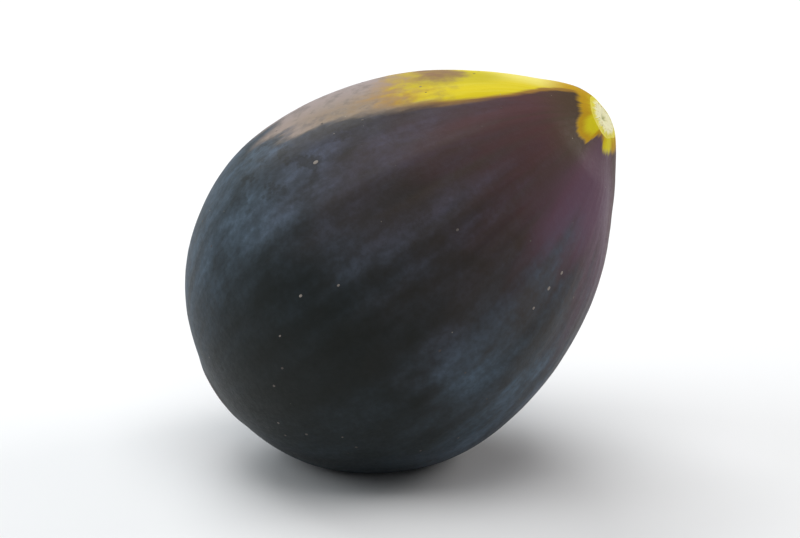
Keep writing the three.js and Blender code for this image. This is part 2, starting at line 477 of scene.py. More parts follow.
def patches_group():
    """Even patches of a given size in millimetres, the same in every direction."""
    group, given, out = new_group(
        "patches",
        [
            ("Size", "NodeSocketFloat", 1.0),
            ("Detail", "NodeSocketFloat", 3.0),
            ("Shift", "NodeSocketFloat", 0.0),
        ],
        [("Value", "NodeSocketFloat")],
    )
    here = add(group, "ShaderNodeTexCoord").outputs["Object"]
    shift = add(group, "ShaderNodeCombineXYZ", {0: given["Shift"]}).outputs[0]
    moved = add(group, "ShaderNodeVectorMath", {0: here, 1: shift}, operation="ADD").outputs[0]
    scale = calc(group, "DIVIDE", 1 / MM, given["Size"])
    inputs = {"Vector": moved, "Scale": scale, "Detail": given["Detail"], "Roughness": 0.6}
    group.links.new(add(group, "ShaderNodeTexNoise", inputs).outputs[0], out["Value"])
    return group


streaks = lengthwise_group()
patches = patches_group()

# The skin is thin and dark: nearly black on the belly, partly its own colour and partly painted
# shade, maroon and brown towards the stalk, and still yellow in one streak that the sun didn't
# reach and in a collar round the cut. A dull blue-grey wax lies over it, rubbed away in lengthwise
# bands, smudges and spots, and thinner on the lower near side as wear and as painted shade.
SKIN_BLACK_AND_SHADE = colour(0.008, 0.010, 0.008)
SKIN_DARK = colour(0.026, 0.021, 0.015)
SKIN_BROWN = colour(0.054, 0.038, 0.025)
SKIN_MAROON = colour(0.090, 0.034, 0.034)
SKIN_VIOLET = colour(0.126, 0.060, 0.098)
SKIN_OLIVE = colour(0.068, 0.045, 0.018)
WAX_BLUE = colour(0.084, 0.123, 0.166)
WAX_VIOLET = colour(0.116, 0.106, 0.160)
STREAK_YELLOW = colour(0.700, 0.560, 0.002)
STREAK_PALE = colour(0.740, 0.620, 0.030)
STREAK_OLIVE = colour(0.500, 0.420, 0.001)
# A painted highlight: pale cream along the streak's upper limb near the cut.
STREAK_CREAM_HIGHLIGHT = colour(0.820, 0.740, 0.200)
STREAK_OCHRE = colour(0.400, 0.210, 0.020)
STREAK_TAN = colour(0.270, 0.195, 0.125)
# Pinkish grey: partly the streak's own fading colour, partly a painted sheen on the upper limb.
STREAK_GREY_AND_SHEEN = colour(0.345, 0.280, 0.268)
STREAK_FLUSH = colour(0.210, 0.100, 0.075)
COLLAR_YELLOW = colour(0.700, 0.600, 0.002)
COLLAR_ORANGE = colour(0.520, 0.300, 0.001)
SPECK_PALE = colour(0.360, 0.330, 0.250)
EYE_BROWN = colour(0.085, 0.040, 0.026)
DOWN_TINT = colour(0.80, 0.88, 1.0)

# Degrees round the fruit from its upper side towards the viewer, with the wax's share at each.
WAX_ROUND = (
    (0, 0.58), (20, 0.70), (36, 0.82), (46, 0.74), (55, 0.34), (66, 0.58), (76, 0.56),
    (86, 0.34), (98, 0.60), (128, 0.95), (152, 0.85), (190, 0.45), (232, 0.95), (285, 0.45),
    (330, 0.80), (360, 0.58),
)
# Millimetres from the cut, with an angle in degrees at each: the two edges of the yellow streak.
STREAK_LOWER_EDGE = (
    (0, -14), (2, -3), (4, 9), (6, 19), (9, 25), (13, 26), (17, 23.5), (23, 21), (30, 16),
    (36, 10), (44, 0),
)
STREAK_UPPER_EDGE = ((0, -26), (9, -27), (15, -22), (19, -25), (26, -24), (44, -18))
STREAK_REACH = 44.0

# Millimetres from the cut at which one look begins to turn into the next, and has done so.
COLOUR_WANDER = 13  # how far these places stray from streak to streak
# The bare skin's turn to near-black: partly its own colour, partly painted shade.
DARK_TO_BLACK_AND_SHADE = (26, 46)
DARK_TO_MAROON = (27, 4)
DARK_TO_BROWN = (36, 16)
MAROON_TO_VIOLET = (19, 8)
BARE_TO_WAX = (2, 23)
WAX_THICKENS = (22, 46)
WAX_THINS = (44, 60)
# Wax thinning below: partly wear, partly painted shade.
WAX_WORN_AND_SHADED_BELOW = (30, 44)
RUBBED_FROM = (20, 30)
RUBBED_UNTIL = (49, 42)
VIOLET_TO_BLUE_WAX = (16, 48)
YELLOW_TO_OLIVE = (7, 11)
YELLOW_TO_CREAM_HIGHLIGHT = (12, 6)
YELLOW_TO_ORANGE = (4.5, 1.5)
YELLOW_TO_OCHRE = (15, 23)
OCHRE_TO_TAN = (19, 27)
TAN_TO_GREY_AND_SHEEN = (17, 25)
ALL_TO_GREY_AND_SHEEN = (28, 36)
STREAK_FADES = (STREAK_REACH, 28)
FLUSH_MIDDLE = 15.4
FLUSH_HALF_LENGTH = 3.2

# Where round the fruit a look lies: its middle in degrees, and its reach to either hand.
VIOLET_SIDE = (128, 52)
# The lower near side, where the wax thins as wear and as painted shade.
WORN_AND_SHADED_SIDE = (100, 78)
RUBBED_SIDE = (17, 30)
BLUE_SIDE = (130, 45)
TONGUE_SIDE = (75, 24)
NOTCH_SIDE = (104, 17)
OLIVE_SKIN_SIDE = (20, 100)
OLIVE_STREAK_SIDE = (0, 16)
CREAM_HIGHLIGHT_SIDE = (-14, 26)
GREY_AND_SHEEN_SIDE = (-16, 30)
FLUSH_SIDE = (-9, 21)
CLEAN_COLLAR_SIDE = (140, 30)

# What wears the wax: patches by size in millimetres, and streaks by how many go round and their
# length. Each has its noise's detail and shift, the noise's low and high ends, and the share of
# wax that is left at the low end.
WAX_PATCHES = (
    (16, 2, 1.0, 0.32, 0.66, 0.72),
    (5.0, 3, 6.0, 0.34, 0.62, 0.55),
    (0.9, 3, 2.0, 0.34, 0.66, 0.68),
)
WAX_STREAKS = (
    (26, 34, 3, 9.0, 0.34, 0.62, 0.66),
    (44, 12, 2, 13.0, 0.30, 0.66, 0.55),
    (130, 5, 2, 21.0, 0.34, 0.66, 0.80),
)
WAX_STRENGTH = 1.6
SPECK_SPACING = 2.4
GRAIN_HEIGHT = 0.05


def angle_round(tree, around):
    """Degrees from the upper side towards the viewer, from -180 to 180 and from 0 to 360."""
    parts = add(tree, "ShaderNodeSeparateXYZ", {0: around}).outputs
    radians = calc(tree, "ARCTAN2", parts[1], parts[0])
    degrees = calc(tree, "MULTIPLY", radians, math.degrees(1))
    return degrees, calc(tree, "MODULO", calc(tree, "ADD", degrees, 360), 360)


def curve(tree, value, points, top):
    """A value read from a smooth line through a few points, over a range from 0 to top."""
    lowest = min(y for _, y in points)
    highest = max(y for _, y in points)
    share = calc(tree, "DIVIDE", value, top)
    made = add(tree, "ShaderNodeFloatCurve", {"Value": share})
    line = made.mapping.curves[0]
    placed = [(x / top, (y - lowest) / (highest - lowest)) for x, y in points]
    line.points[0].location = placed[0]
    line.points[1].location = placed[-1]
    for x, y in placed[1:-1]:
        line.points.new(x, y)
    made.mapping.update()
    spread = calc(tree, "MULTIPLY", made.outputs[0], highest - lowest)
    return calc(tree, "ADD", spread, lowest)


def skin_material():
    material, tree = new_material("fig_skin")
    around = add(tree, "ShaderNodeAttribute", attribute_name="around").outputs["Vector"]
    along = add(tree, "ShaderNodeAttribute", attribute_name="along").outputs["Fac"]
    crest = add(tree, "ShaderNodeAttribute", attribute_name="rib").outputs["Fac"]
    from_cut = calc(tree, "SUBTRACT", LENGTH, along)
    degrees, all_round = angle_round(tree, around)

    def streaky(count, length, detail=3.0, shift=0.0):
        return use(tree, streaks, {
            "Around": around, "Along": along, "Streaks Round": count,
            "Streak Length": length, "Detail": detail, "Shift": shift,
        })[0]

    def patchy(size, detail=3.0, shift=0.0):
        return use(tree, patches, {"Size": size, "Detail": detail, "Shift": shift})[0]

    def swing(value, reach):
        """Turns noise round a half into a stray to either side, up to about the reach."""
        return calc(tree, "MULTIPLY", calc(tree, "SUBTRACT", value, 0.5), 2 * reach)

    def beside(angle, reach):
        """1 along one side of the fruit, easing to 0 at a reach of degrees to either hand."""
        turned = calc(tree, "MULTIPLY", calc(tree, "SUBTRACT", degrees, angle), math.radians(1))
        return remap(tree, calc(tree, "COSINE", turned), math.cos(math.radians(reach)), 1.0)

    def times(*values):
        product = values[0]
        for value in values[1:]:
            product = calc(tree, "MULTIPLY", product, value)
        return product

    def plus(*values):
        total = values[0]
        for value in values[1:]:
            total = calc(tree, "ADD", total, value)
        return total

    # The bare skin's colour, from belly to neck; its near-black at the eye end is partly painted
    # shade.
    wander = swing(streaky(14, 22), COLOUR_WANDER)
    wandered = plus(from_cut, wander)
    bare = mix(tree, remap(tree, wandered, *DARK_TO_BLACK_AND_SHADE), SKIN_DARK, SKIN_BLACK_AND_SHADE)
    bare = mix(tree, remap(tree, wandered, *DARK_TO_MAROON), bare, SKIN_MAROON)
    brown = remap(tree, streaky(30, 40, 3, 5.0), 0.42, 0.72, 0, 0.8)
    bare = mix(tree, times(brown, remap(tree, wandered, *DARK_TO_BROWN)), bare, SKIN_BROWN)
    violet = times(remap(tree, wandered, *MAROON_TO_VIOLET), beside(*VIOLET_SIDE), 0.9)
    bare = mix(tree, violet, bare, SKIN_VIOLET)

    # The wax, thick on the belly and thin at the neck, in broad bands, rubbed and smudged. It
    # is worn a little off the ribs. It is thinner on the lower near side, partly as wear and partly
    # as painted shade that darkens the fruit there.
    banded = curve(tree, plus(all_round, swing(streaky(9, 26, 3, 31.0), 11)), WAX_ROUND, 360.0)
    # Less wax on the lower near side: partly wear, partly painted shade that darkens the fruit
    # below.
    worn_and_shaded_below = times(beside(*WORN_AND_SHADED_SIDE), remap(tree, wandered, *WAX_WORN_AND_SHADED_BELOW), 0.86)
    rubbed_along = times(remap(tree, from_cut, *RUBBED_FROM), remap(tree, from_cut, *RUBBED_UNTIL))
    smudges = remap(tree, patchy(3.0, 4, 15.0), 0.50, 0.60)
    scratches = remap(tree, streaky(36, 12, 3, 41.0), 0.53, 0.63)
    marks = calc(tree, "MAXIMUM", smudges, scratches)
    rubbed = times(beside(*RUBBED_SIDE), rubbed_along, marks, 0.62)
    left = []
    for size, detail, shift, low_end, high_end, least in WAX_PATCHES:
        left.append(remap(tree, patchy(size, detail, shift), low_end, high_end, least, 1.0))
    for count, length, detail, shift, low_end, high_end, least in WAX_STREAKS:
        noisy = streaky(count, length, detail, shift)
        left.append(remap(tree, noisy, low_end, high_end, least, 1.0))
    wax = times(
        remap(tree, wandered, *BARE_TO_WAX, 0.12, 1.0),
        remap(tree, from_cut, *WAX_THICKENS, 0.70, 1.22),
        remap(tree, from_cut, *WAX_THINS, 1.0, 0.75),
        banded,
        calc(tree, "SUBTRACT", 1.0, worn_and_shaded_below),
        remap(tree, crest, 0.45, 0.95, 1.0, 0.66),
        calc(tree, "SUBTRACT", 1.0, rubbed),
        WAX_STRENGTH,
        *left,
    )
    blue_side = times(beside(*BLUE_SIDE), remap(tree, wandered, 9, 17))
    bluer = calc(tree, "MAXIMUM", remap(tree, wandered, *VIOLET_TO_BLUE_WAX), blue_side)
    skin = mix(tree, wax, bare, mix(tree, bluer, WAX_VIOLET, WAX_BLUE))

    # The collar's reach from the cut: narrow, with a tongue and a notch on the near side. The
    # skin beyond it is olive.
    tongue = times(beside(*TONGUE_SIDE), 1.25)
    notch = times(beside(*NOTCH_SIDE), -0.85)
    width = plus(tongue, notch, 1.0, swing(streaky(44, 8, 4, 7.0), 0.75))
    inside = calc(tree, "SUBTRACT", width, from_cut)
    upper_share = remap(tree, beside(*OLIVE_SKIN_SIDE), 0, 0.8, 0.25, 1.0)
    olive = times(remap(tree, inside, -5.5, -0.2, 0, 0.75), upper_share)
    skin = mix(tree, olive, skin, SKIN_OLIVE)

    # The yellow streak between its two edges. It is orange by the collar, dulls to ochre and
    # tan further down, with a brown flush, and then runs out in streaks. Near the cut its upper limb
    # is a painted highlight in pale cream, and further down it fades to a pinkish grey that is
    # partly a painted sheen.
    ragged = times(swing(streaky(40, 12, 4, 27.0), 14.0), remap(tree, from_cut, 18, 34))
    edge_at = plus(degrees, swing(streaky(90, 7), 2.5), ragged)
    lower_at = curve(tree, from_cut, STREAK_LOWER_EDGE, STREAK_REACH)
    upper_at = curve(tree, from_cut, STREAK_UPPER_EDGE, STREAK_REACH)
    below = calc(tree, "SUBTRACT", lower_at, edge_at)
    above = remap(tree, calc(tree, "SUBTRACT", edge_at, upper_at), -1.0, 3.5)
    fading = plus(wandered, swing(streaky(56, 16, 4, 33.0), 20))
    fade = remap(tree, fading, *STREAK_FADES)
    rim_width = remap(tree, from_cut, 1, 9, -7.0, -2.2)
    rim = times(remap(tree, calc(tree, "SUBTRACT", below, rim_width), -1.8, 2.6), above, fade)
    streak = times(remap(tree, below, -1.4, 2.4), above, fade)
    aged = plus(from_cut, times(wander, 0.35))
    blotched = plus(aged, swing(patchy(2.0, 4, 18.0), 3.5), swing(streaky(60, 6, 3, 18.0), 4))
    pale_lines = remap(tree, streaky(110, 12, 3, 2.0), 0.42, 0.75)
    olive_part = times(beside(*OLIVE_STREAK_SIDE), remap(tree, aged, *YELLOW_TO_OLIVE), 0.8)
    # Painted highlight: the streak turns pale cream along its upper limb near the cut.
    cream_highlight = times(beside(*CREAM_HIGHLIGHT_SIDE), remap(tree, aged, *YELLOW_TO_CREAM_HIGHLIGHT), 0.75)
    yellow = mix(tree, pale_lines, STREAK_YELLOW, STREAK_PALE)
    yellow = mix(tree, olive_part, yellow, STREAK_OLIVE)
    yellow = mix(tree, cream_highlight, yellow, STREAK_CREAM_HIGHLIGHT)
    yellow = mix(tree, remap(tree, from_cut, *YELLOW_TO_ORANGE), yellow, COLLAR_ORANGE)
    yellow = mix(tree, remap(tree, blotched, *YELLOW_TO_OCHRE), yellow, STREAK_OCHRE)
    yellow = mix(tree, remap(tree, blotched, *OCHRE_TO_TAN), yellow, STREAK_TAN)
    # The streak's far end turns pale pinkish grey, most on its upper limb: partly its own colour,
    # partly a painted sheen.
    grey_and_sheen = times(beside(*GREY_AND_SHEEN_SIDE), remap(tree, blotched, *TAN_TO_GREY_AND_SHEEN))
    grey_and_sheen = calc(tree, "MAXIMUM", grey_and_sheen, remap(tree, aged, *ALL_TO_GREY_AND_SHEEN, 0, 0.6))
    yellow = mix(tree, grey_and_sheen, yellow, STREAK_GREY_AND_SHEEN)
    off_middle = calc(tree, "SUBTRACT", aged, FLUSH_MIDDLE)
    down_flush = calc(tree, "DIVIDE", off_middle, FLUSH_HALF_LENGTH)
    flushed = calc(tree, "SUBTRACT", beside(*FLUSH_SIDE), times(down_flush, down_flush))
    flushed = plus(flushed, swing(patchy(1.8, 3, 12.0), 0.7))
    yellow = mix(tree, remap(tree, flushed, -0.5, 1.1, 0, 0.85), yellow, STREAK_FLUSH)
    blotches = remap(tree, patchy(2.4, 4, 8.0), 0.38, 0.68, 0, 0.55)
    kept = calc(tree, "SUBTRACT", 1.0, times(blotches, remap(tree, aged, 15, 26)))
    rim_colour = mix(tree, remap(tree, aged, 15, 24), STREAK_OCHRE, STREAK_TAN)
    skin = mix(tree, times(rim, kept, 0.75), skin, rim_colour)
    streak = times(streak, kept)
    skin = mix(tree, streak, skin, yellow)

    # The collar itself, orange at its ragged edge.
    clean_yellow = calc(tree, "MAXIMUM", remap(tree, inside, 0.5, 1.7), beside(*CLEAN_COLLAR_SIDE))
    collar = mix(tree, clean_yellow, COLLAR_ORANGE, COLLAR_YELLOW)
    collar_mask = remap(tree, inside, -0.3, 0.35)
    skin = mix(tree, collar_mask, skin, collar)

    # The eye's rim is browner, and the finest pale specks are only colour.
    skin = mix(tree, remap(tree, along, 1.1, 0.1, 0, 0.8), skin, EYE_BROWN)
    cells = add(tree, "ShaderNodeTexVoronoi", {
        "Vector": add(tree, "ShaderNodeTexCoord").outputs["Object"],
        "Scale": 1 / (SPECK_SPACING * MM),
    }).outputs
    speck = remap(tree, cells["Distance"], 0.055, 0.025)
    chosen = add(tree, "ShaderNodeSeparateColor", {0: cells["Color"]}).outputs[0]
    speck = times(speck, remap(tree, chosen, 0.55, 0.9, 0, 0.7))
    skin = mix(tree, speck, skin, SPECK_PALE)

    # Bare skin is a little glossier than wax. The grain is the fine down and pores of the skin.
    clean = calc(tree, "MAXIMUM", streak, collar_mask)
    rough = remap(tree, wax, 0, 0.7, 0.54, 0.62)
    rough = plus(rough, remap(tree, patchy(0.7, 3), 0.3, 0.7, -0.05, 0.05))
    rough = calc(tree, "MAXIMUM", rough, times(clean, 0.72))
    grain = plus(patchy(0.45, 4, 4.0), times(streaky(260, 3, 3), 0.7))
    height = add(tree, "ShaderNodeBump", {
        "Height": grain, "Strength": 0.5, "Distance": GRAIN_HEIGHT * MM,
    })

    shader = add(tree, "ShaderNodeBsdfPrincipled", {
        "Base Color": skin, "Roughness": rough, "Normal": height.outputs[0],
        "Specular IOR Level": 0.17, "Sheen Weight": 0.04, "Sheen Roughness": 0.4,
        "Sheen Tint": DOWN_TINT,
    })
    add(tree, "ShaderNodeOutputMaterial", {"Surface": shader.outputs[0]})
    return material


# The cut face is the stalk's pale flesh, yellow under the skin and creamy inside, with a green
# tinge at the pith. Dried milky sap leaves it a little shiny in places.
CUT_CREAM = colour(0.96, 0.92, 0.56)
CUT_YELLOW = colour(0.80, 0.70, 0.03)
CUT_GREEN = colour(0.42, 0.42, 0.10)
CUT_STAIN = colour(0.42, 0.28, 0.07)
CUT_BUMP = 0.12


def cut_material():
    material, tree = new_material("stalk_cut")
    around = add(tree, "ShaderNodeAttribute", attribute_name="around").outputs["Vector"]
    along = add(tree, "ShaderNodeAttribute", attribute_name="along").outputs["Fac"]
    from_rim = calc(tree, "SUBTRACT", along, LENGTH)
    rays = use(tree, streaks, {
        "Around": around, "Along": along, "Streaks Round": 60.0, "Streak Length": 3.0,
    })[0]
    blots = use(tree, patches, {"Size": 1.3, "Detail": 4.0})[0]
    ray_stray = calc(tree, "MULTIPLY", calc(tree, "SUBTRACT", rays, 0.5), 1.6)
    reach = calc(tree, "ADD", from_rim, ray_stray)
    flesh = mix(tree, remap(tree, reach, 0.4, 1.1), CUT_YELLOW, CUT_CREAM)
    flesh = mix(tree, remap(tree, reach, 2.3, 3.2, 0, 0.8), flesh, CUT_GREEN)
    flesh = mix(tree, remap(tree, blots, 0.58, 0.76, 0, 0.5), flesh, CUT_STAIN)
    fibres = calc(tree, "ADD", rays, use(tree, patches, {"Size": 0.35, "Detail": 4.0})[0])
    height = add(tree, "ShaderNodeBump", {
        "Height": fibres, "Strength": 0.7, "Distance": CUT_BUMP * MM,
    })
    shader = add(tree, "ShaderNodeBsdfPrincipled", {
        "Base Color": flesh, "Roughness": remap(tree, blots, 0.35, 0.65, 0.38, 0.62),
        "Normal": height.outputs[0], "Specular IOR Level": 0.5,
    })
    add(tree, "ShaderNodeOutputMaterial", {"Surface": shader.outputs[0]})
    return material


fig_body.data.materials.append(skin_material())
fig_body.data.materials.append(cut_material())
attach(fig_body, "root")
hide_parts("fig")


# The eye's bracts. Small stiff scales close the opening at the blossom end in three whorls, each
# overlapping the one inside it. They are reddish brown, dry and paler along their edges.
BRACT_THICKNESS = 0.12
BRACT_LIFT = 0.05
BRACT_TIP_LIFT = 0.12
BRACT_LEAN = 0.07  # how much each one's side rides up over its neighbour
BRACT_CURL = 0.09  # how much both sides turn down
BRACT_ROOT_DEPTH = 0.48  # how deep its root is sunk in the rim
BRACT_ROOT_SHARE = 0.4  # share of its length over which it comes out
BRACT_BASE = 0.4  # how far outside its whorl each one is rooted
BRACT_REACH = 1.6  # how far it covers the step inside its whorl
BRACT_LENGTHS = (0.85, 1.15)  # shares of that reach, of the shortest and the longest
BRACT_WIDTHS = (1.15, 1.35)  # half-widths, as shares of what would just fill the whorl
BRACT_TIP_LIFTS = (0.6, 1.4)  # shares of the tips' lift, of the lowest and the highest
BRACT_ROWS = 9
BRACT_COLUMNS = 9
BRACT_SEED = 5
BRACT_RED = colour(0.125, 0.045, 0.028)
BRACT_DARK = colour(0.060, 0.028, 0.022)
BRACT_EDGE = colour(0.260, 0.145, 0.075)


def eye_points(across, up, lift):
    """Points over the eye's surface, from places in its plane and a lift straight outward."""
    radius = np.hypot(across, up)
    angle = np.arctan2(across, up)
    points = skin_points(np.arcsin(np.maximum(radius, NEARLY_ZERO) / BELLY_RADIUS), angle)
    points[..., 0] -= lift
    return points


def slab_faces(rows, columns, first):
    """Faces of a closed slab between an upper and a lower grid of points."""
    under = first + rows * columns

    def quads(start):
        for i in range(rows - 1):
            for j in range(columns - 1):
                a = start + i * columns + j
                yield (a, a + columns, a + columns + 1, a + 1)

    faces = list(quads(first))
    faces += [tuple(reversed(quad)) for quad in quads(under)]
    rim = list(range(columns))
    rim += [i * columns + columns - 1 for i in range(1, rows)]
    rim += [(rows - 1) * columns + j for j in range(columns - 2, -1, -1)]
    rim += [i * columns for i in range(rows - 2, 0, -1)]
    for here, after in zip(rim, rim[1:] + rim[:1]):
        faces.append((first + here, first + after, under + after, under + here))
    return faces


def bract_grid(whorl, middle, draw):
    """The upper and lower points of one bract, and how near each is to the bract's edge."""
    rows = np.linspace(0, 1, BRACT_ROWS)
    columns = np.linspace(-1, 1, BRACT_COLUMNS)
    down, aside = np.meshgrid(rows, columns, indexing="ij")
    root = whorl["radius"] + BRACT_BASE
    tip = whorl["radius"] - BRACT_REACH * whorl["tip"] * draw.uniform(*BRACT_LENGTHS)
    filling = whorl["radius"] * math.sin(math.pi / whorl["count"])
    half_width = filling * draw.uniform(*BRACT_WIDTHS)
    inward = root + (tip - root) * down
    # Each one is slim at its root, broad in the middle and rounded at its tip.
    narrowing = (1.02 - down ** 2.4) ** 0.7 * (0.7 + 0.3 * smooth(down, 0, 0.45))
    sideways = aside * half_width * narrowing
    across = inward * math.sin(middle) + sideways * math.cos(middle)
    up = inward * math.cos(middle) - sideways * math.sin(middle)
    lift = BRACT_LIFT + BRACT_TIP_LIFT * draw.uniform(*BRACT_TIP_LIFTS) * down ** 2
    lift = lift + BRACT_LEAN * aside - BRACT_CURL * aside ** 2
    lift = lift - BRACT_ROOT_DEPTH * (1 - smooth(down, 0, BRACT_ROOT_SHARE))
    upper = eye_points(across, up, lift + BRACT_THICKNESS / 2)
    lower = eye_points(across, up, lift - BRACT_THICKNESS / 2)
    return upper, lower, np.maximum(np.abs(aside) ** 3, down ** 4)


def bract_material():
    material, tree = new_material("eye_bracts")
    edge = add(tree, "ShaderNodeAttribute", attribute_name="edge").outputs["Fac"]
    blots = use(tree, patches, {"Size": 0.5, "Detail": 4.0})[0]
    stray = calc(tree, "MULTIPLY", calc(tree, "SUBTRACT", blots, 0.5), 0.9)
    ragged = calc(tree, "ADD", edge, stray)
    scale = mix(tree, remap(tree, blots, 0.35, 0.65), BRACT_DARK, BRACT_RED)
    scale = mix(tree, remap(tree, ragged, 0.5, 1.05), scale, BRACT_EDGE)
    shader = add(tree, "ShaderNodeBsdfPrincipled", {
        "Base Color": scale, "Roughness": remap(tree, blots, 0.3, 0.7, 0.50, 0.68),
        "Specular IOR Level": 0.3,
    })
    add(tree, "ShaderNodeOutputMaterial", {"Surface": shader.outputs[0]})
    return material


bract_points = []
bract_faces = []
bract_edges = []
bract_draw = random.Random(BRACT_SEED)
for whorl in BRACT_WHORLS:
    for k in range(whorl["count"]):
        middle_angle = whorl["turn"] + k * TURN / whorl["count"]
        upper, lower, nearness = bract_grid(whorl, middle_angle, bract_draw)
        first = len(bract_points) * BRACT_ROWS * BRACT_COLUMNS
        bract_faces += slab_faces(BRACT_ROWS, BRACT_COLUMNS, first)
        bract_points += [upper.reshape(-1, 3), lower.reshape(-1, 3)]
        bract_edges += [nearness.ravel(), nearness.ravel()]

eye_bracts = new_piece("eye_bracts", lying(np.concatenate(bract_points), drop, shift), bract_faces)
store(eye_bracts, "edge", "FLOAT", np.concatenate(bract_edges))
eye_bracts.data.materials.append(bract_material())
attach(eye_bracts, "root")
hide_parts("fig")


# The fibre ends. The strands that feed the fruit run up the stalk in a ring, and where the cut
# crosses them they stand a little above the soft flesh as blunt pale dots.
FIBRE_COUNT = 22
FIBRE_RADIUS = 0.13
FIBRE_HEIGHT = 0.045
FIBRE_SEED = 17
FIBRE_SIZES = (0.6, 1.25)  # of the smallest and the largest, as shares of the radius
FIBRE_RING_STRAY = (0.86, 1.1)  # the nearest and the furthest out, as shares of the ring's radius
FIBRE_TURN_STRAY = 0.3  # how far each strays round the ring, as a share of the spacing
FIBRE_STEP = 0.05  # the step to either hand that gives the slope of the cut
FIBRE_PALE = colour(0.900, 0.830, 0.460)
FIBRE_DRY = colour(0.660, 0.500, 0.180)
GRAIN_RINGS = 5
GRAIN_SIDES = 10


def round_grain():
    """Points and faces of a ball one unit in radius, coarse because the grains are tiny."""
    tilts = np.arange(1, GRAIN_RINGS + 1) * math.pi / (GRAIN_RINGS + 1)
    turns = np.arange(GRAIN_SIDES) * TURN / GRAIN_SIDES
    tilt, turn = np.meshgrid(tilts, turns, indexing="ij")
    across = np.sin(tilt)
    rings = np.stack([across * np.cos(turn), across * np.sin(turn), np.cos(tilt)], axis=-1)
    points = np.concatenate([[[0, 0, 1]], rings.reshape(-1, 3), [[0, 0, -1]]])
    end = len(points) - 1
    faces = []
    for j in range(GRAIN_SIDES):
        after = (j + 1) % GRAIN_SIDES
        faces.append((0, 1 + j, 1 + after))
        for i in range(GRAIN_RINGS - 1):
            above = 1 + i * GRAIN_SIDES
            below = above + GRAIN_SIDES
            faces.append((above + j, below + j, below + after, above + after))
        last = 1 + (GRAIN_RINGS - 1) * GRAIN_SIDES
        faces.append((last + j, end, last + after))
    return points, faces


def grains(name, places):
    """One piece made of many rounded grains, each given by its middle and its three half-axes."""
    unit, unit_faces = round_grain()
    points = []
    faces = []
    for i, (middle, axes) in enumerate(places):
        points.append(middle + unit @ np.array(axes))
        faces += [tuple(i * len(unit) + corner for corner in face) for face in unit_faces]
    return new_piece(name, np.concatenate(points), faces)


def fibre_material():
    material, tree = new_material("fibre_ends")
    blots = use(tree, patches, {"Size": 0.4, "Detail": 3.0})[0]
    tone = mix(tree, remap(tree, blots, 0.4, 0.7), FIBRE_PALE, FIBRE_DRY)
    shader = add(tree, "ShaderNodeBsdfPrincipled", {
        "Base Color": tone, "Roughness": remap(tree, blots, 0.3, 0.7, 0.45, 0.6),
        "Specular IOR Level": 0.4,
    })
    add(tree, "ShaderNodeOutputMaterial", {"Surface": shader.outputs[0]})
    return material


fibre_draw = random.Random(FIBRE_SEED)
fibre_places = []
for k in range(FIBRE_COUNT):
    stray = fibre_draw.uniform(-FIBRE_TURN_STRAY, FIBRE_TURN_STRAY)
    turn = (k + stray) * TURN / FIBRE_COUNT
    out = STALK_RADIUS * FIBRE_RING_SHARE * fibre_draw.uniform(*FIBRE_RING_STRAY)
    radii = np.array([out, out + FIBRE_STEP, out])
    turns = np.array([turn, turn, turn + FIBRE_STEP / out])
    here, outer, beyond = lying(cut_points(radii, turns), drop, shift)
    outward = (outer - here) / np.linalg.norm(outer - here)
    sideways = (beyond - here) / np.linalg.norm(beyond - here)
    upward = np.cross(outward, sideways)
    size = FIBRE_RADIUS * fibre_draw.uniform(*FIBRE_SIZES) * MM
    fibre_places.append((here, (outward * size, sideways * size, upward * FIBRE_HEIGHT * MM)))

fibre_ends = grains("stalk_fibres", fibre_places)
fibre_ends.data.materials.append(fibre_material())
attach(fibre_ends, "root")
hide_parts("fig")


# The lenticels. The skin breathes through small corky specks that stretch lengthwise as the
# fruit swells. They are scattered all over it, pale, and just proud of the skin.
LENTICEL_COUNT = 60
LENTICEL_SEED = 3
LENTICEL_LONG = (0.12, 0.24)  # half-length of the smallest and the largest
LENTICEL_SLIM = 0.75  # width for its length
LENTICEL_PROUD = 0.035
LENTICEL_CLEAR = 3.0  # height above the resting surface below which there are none
LENTICEL_LAST = 0.93  # share of the way to the cut beyond which there are none
LARGE_LENTICELS = (
    {"from_cut": 33.5, "angle": 31, "half_length": 0.40},
    {"from_cut": 17.5, "angle": 119, "half_length": 0.32},
    {"from_cut": 15.0, "angle": 121, "half_length": 0.28},
    {"from_cut": 20.5, "angle": 118, "half_length": 0.24},
    {"from_cut": 44.5, "angle": 65, "half_length": 0.26},
)
LENTICEL_PALE = colour(0.290, 0.255, 0.225)
LENTICEL_BROWN = colour(0.080, 0.068, 0.064)


def lenticel_place(station, degrees, half_length):
    """A grain's middle and half-axes on the skin, stretched along the fruit."""
    ring = int(np.argmin(np.abs(skin_station - station)))
    point = 1 + ring * AROUND + round(degrees) % AROUND
    outward = np.array(fig_body.data.vertices[point].normal)
    along_skin = fruit[point + AROUND] - fruit[point - AROUND]
    sideways = np.cross(outward, along_skin)
    sideways = sideways / np.linalg.norm(sideways)
    lengthwise = np.cross(sideways, outward)
    half = half_length * MM
    axes = (lengthwise * half, sideways * half * LENTICEL_SLIM, outward * LENTICEL_PROUD * MM)
    return fruit[point], axes


def lenticel_material():
    material, tree = new_material("lenticels")
    paleness = add(tree, "ShaderNodeAttribute", attribute_name="paleness").outputs["Fac"]
    tone = mix(tree, paleness, LENTICEL_BROWN, LENTICEL_PALE)
    shader = add(tree, "ShaderNodeBsdfPrincipled", {
        "Base Color": tone, "Roughness": 0.75, "Specular IOR Level": 0.2,
    })
    add(tree, "ShaderNodeOutputMaterial", {"Surface": shader.outputs[0]})
    return material


